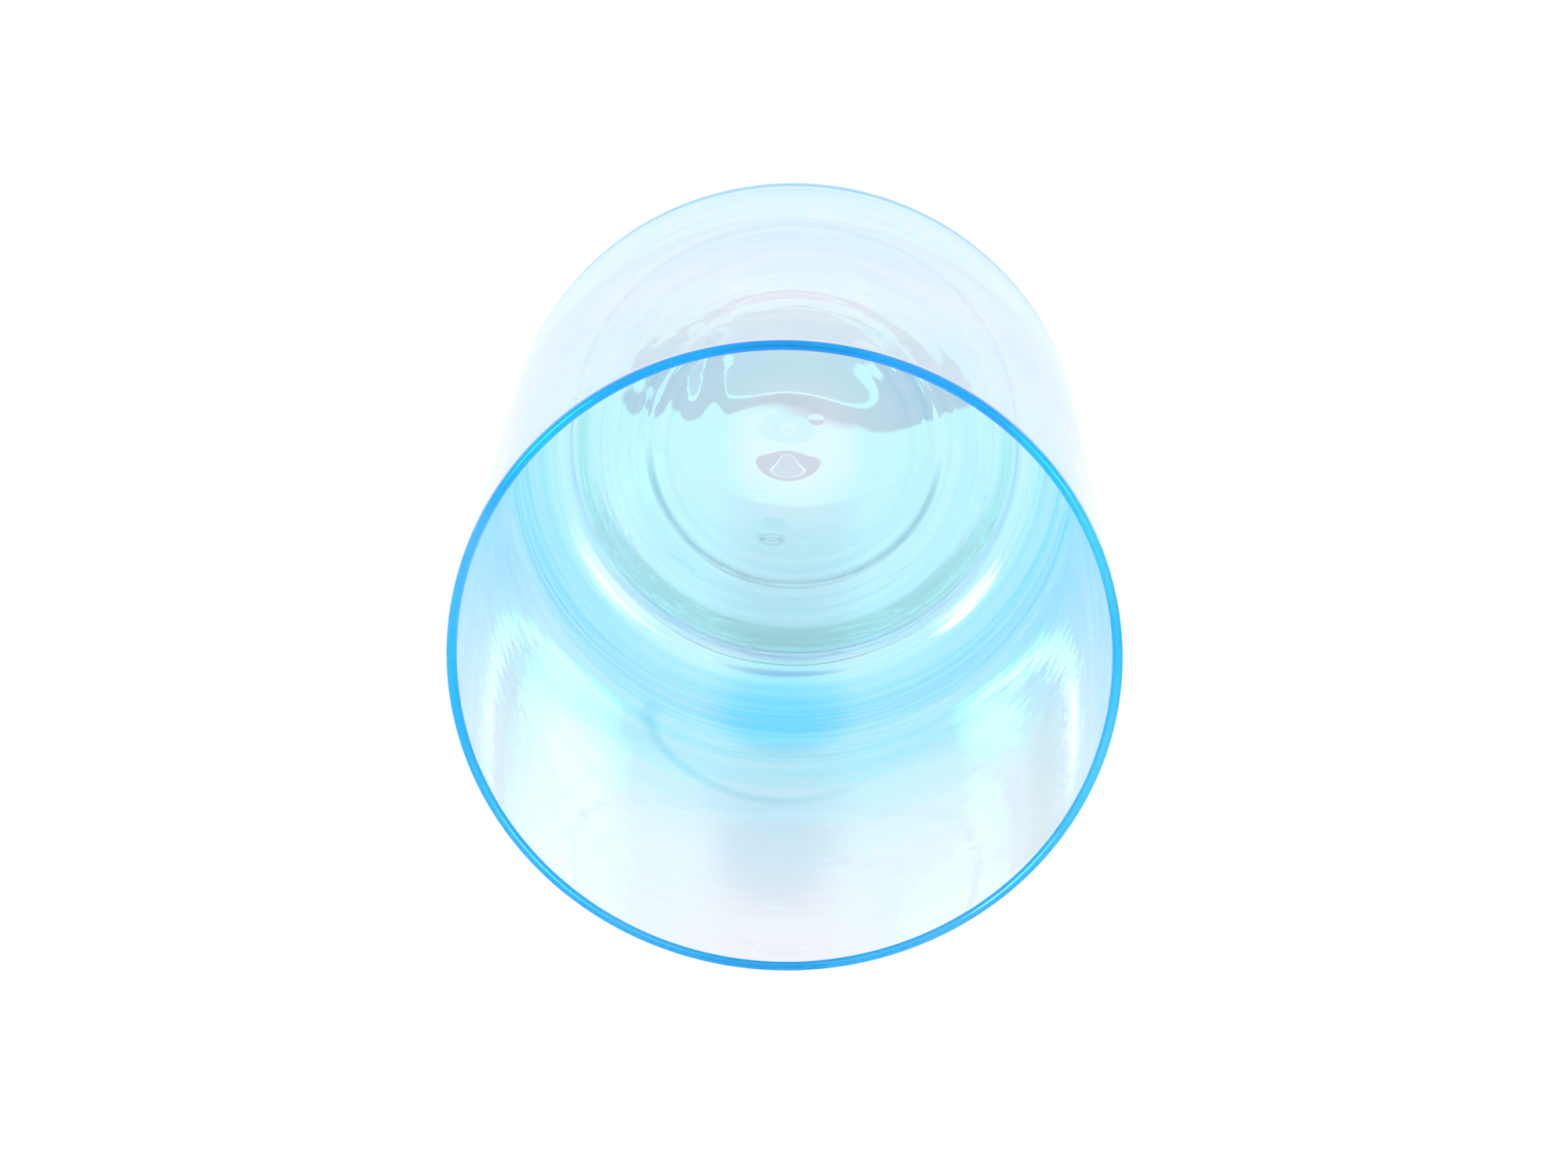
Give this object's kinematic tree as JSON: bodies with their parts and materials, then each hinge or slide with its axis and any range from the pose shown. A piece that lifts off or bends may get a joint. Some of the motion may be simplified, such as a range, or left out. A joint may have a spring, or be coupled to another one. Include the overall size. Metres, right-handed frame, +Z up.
{
  "type": "singing bowl",
  "caption": "Clear blue quartz glass singing bowl: a deep straight-walled cup with a rounded heel and a flat foot, which rings when its rim is struck or rubbed.",
  "frame": {"origin": "centre of the flat foot, where the bowl stands", "axes": "+Z up along the turning axis, out of the mouth; X and Y are free, because the bowl is the same all round"},
  "size_m": [0.2032, 0.2032, 0.2157],
  "materials": {
    "quartz_glass": "polished clear glass, sky-blue tint, deep blue where it is seen edge-on at the rim, thin iridescent lilac coating"
  },
  "bodies": {
    "root": {"bowl": "quartz_glass"}
  },
  "joints": []
}
